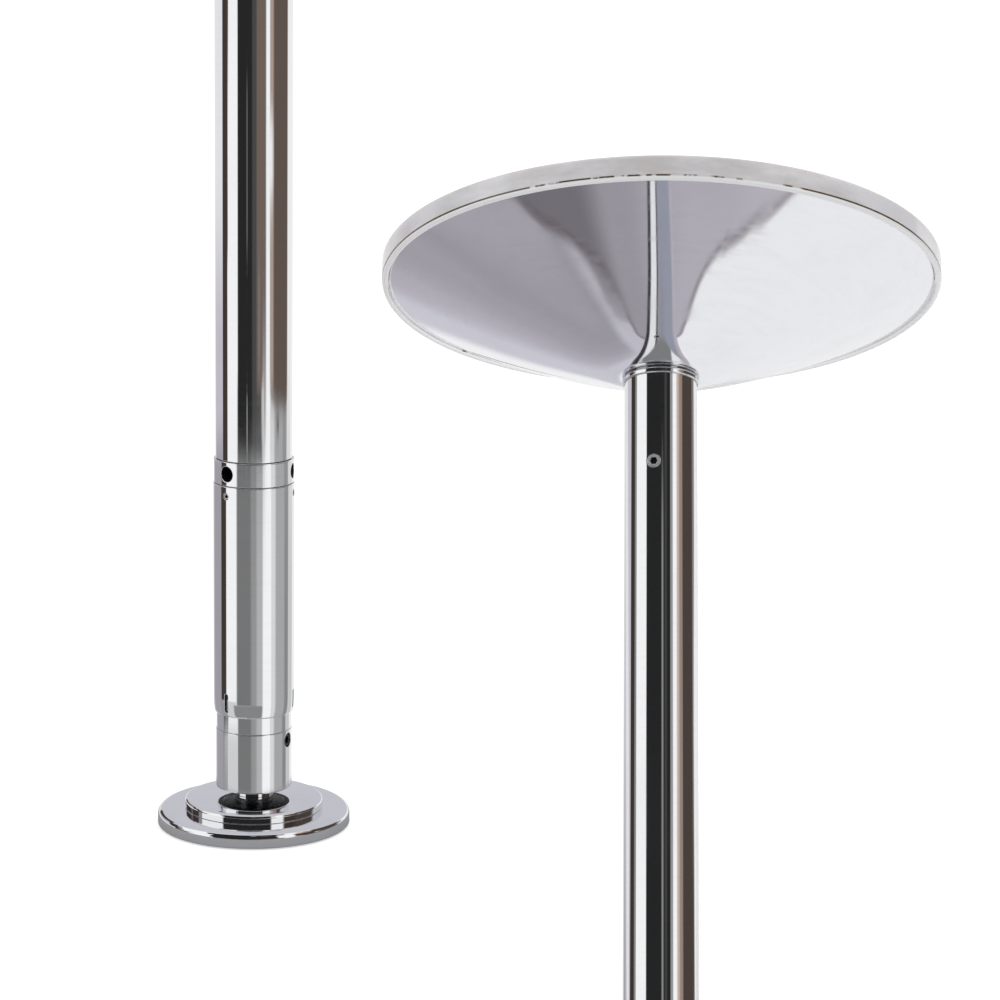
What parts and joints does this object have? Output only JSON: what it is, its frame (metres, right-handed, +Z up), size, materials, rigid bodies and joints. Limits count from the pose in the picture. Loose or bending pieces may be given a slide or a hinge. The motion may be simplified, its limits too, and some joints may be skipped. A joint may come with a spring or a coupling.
{
  "type": "dance pole",
  "caption": "Mirror-chromed pole wedged between floor and ceiling: spinning base on ball bearings, keyed screw jack with adjuster ring, coupled tubes and a wide ceiling dome.",
  "frame": {"origin": "on the floor, at the foot of the pole's axis", "axes": "+Z up along the pole; +X and +Y level; one socket of the adjuster ring faces -X"},
  "size_m": [0.348, 0.348, 2.235],
  "materials": {
    "chrome": "mirror-polished chrome plate on steel",
    "steel": "bright turned or ground steel",
    "aluminium": "plain turned or extruded aluminium",
    "black_steel": "black oxide on hardened steel",
    "rubber": "matt black rubber",
    "clear_pvc": "milky translucent soft PVC"
  },
  "bodies": {
    "base": {"floor_pad": "rubber", "base_plate": "chrome", "base_boss": "chrome", "boss_screw_1": "steel", "boss_screw_2": "steel", "boss_screw_3": "steel", "spindle": "steel", "spindle_bolt": "black_steel", "spindle_nut": "steel", "lower_bearing_inner_race": "steel", "upper_bearing_inner_race": "steel"},
    "base_cages": {"lower_bearing_cage": "steel", "upper_bearing_cage": "steel"},
    "swivel": {"bearing_housing": "chrome", "housing_snap_ring": "black_steel", "dust_shield": "black_steel", "lower_bearing_outer_race": "steel", "upper_bearing_outer_race": "steel", "jack_tube": "chrome", "jack_plug": "steel", "jack_screw": "steel", "jack_nut": "steel"},
    "lock_screw": {"spin_lock_screw": "black_steel"},
    "adjuster": {"adjuster_ring": "chrome", "lower_snap_ring": "black_steel", "upper_snap_ring": "black_steel"},
    "pole": {"adjuster_sleeve": "chrome", "sleeve_bush": "steel", "sleeve_key_1": "steel", "sleeve_key_2": "steel", "sleeve_key_3": "steel", "sleeve_screw_1": "steel", "sleeve_screw_2": "steel", "sleeve_screw_3": "steel", "tube_foot": "steel", "lower_tube": "chrome", "coupling_half_front": "aluminium", "coupling_half_back": "aluminium", "coupling_screw_1": "black_steel", "coupling_screw_2": "black_steel", "upper_tube": "chrome", "ceiling_spigot": "aluminium", "spigot_screw": "steel", "spigot_nut": "steel", "dome_bearing_inner_race": "steel"},
    "dome_cage": {"dome_bearing_cage": "steel"},
    "dome": {"dome_hub": "chrome", "hub_snap_ring": "black_steel", "dome_bearing_outer_race": "steel", "dome_shell": "chrome", "dome_backing_ring": "aluminium", "hub_nut": "steel", "edge_trim": "clear_pvc"}
  },
  "joints": [
    {"name": "pole_spin", "type": "hinge", "parent": "base", "child": "swivel", "pos_m": [0, 0, 0.035], "axis": [0, 0, 1], "continuous": true},
    {"name": "base_cage_turn", "type": "hinge", "parent": "base", "child": "base_cages", "pos_m": [0, 0, 0.035], "axis": [0, 0, 1], "continuous": true},
    {"name": "lock_screw_travel", "type": "slide", "parent": "swivel", "child": "lock_screw", "axis": [-0.2924, 0.9563, 0], "range_m": [0, 0.003]},
    {"name": "height_adjust", "type": "slide", "parent": "swivel", "child": "pole", "axis": [0, 0, 1], "range_m": [0, 0.06]},
    {"name": "ring_turn", "type": "hinge", "parent": "pole", "child": "adjuster", "pos_m": [0, 0, 0.215], "axis": [0, 0, 1], "range_deg": [0, 5400]},
    {"name": "dome_turn", "type": "hinge", "parent": "pole", "child": "dome", "pos_m": [0, 0, 2.16], "axis": [0, 0, 1], "continuous": true},
    {"name": "dome_cage_turn", "type": "hinge", "parent": "dome", "child": "dome_cage", "pos_m": [0, 0, 2.16], "axis": [0, 0, 1], "continuous": true}
  ],
  "couplings": [
    {"joint": "ring_turn", "follows": "height_adjust", "rad_per_m": 1570.8},
    {"joint": "base_cage_turn", "follows": "pole_spin", "ratio": 0.5835},
    {"joint": "dome_turn", "follows": "pole_spin", "ratio": -1},
    {"joint": "dome_cage_turn", "follows": "pole_spin", "ratio": 0.3987}
  ]
}
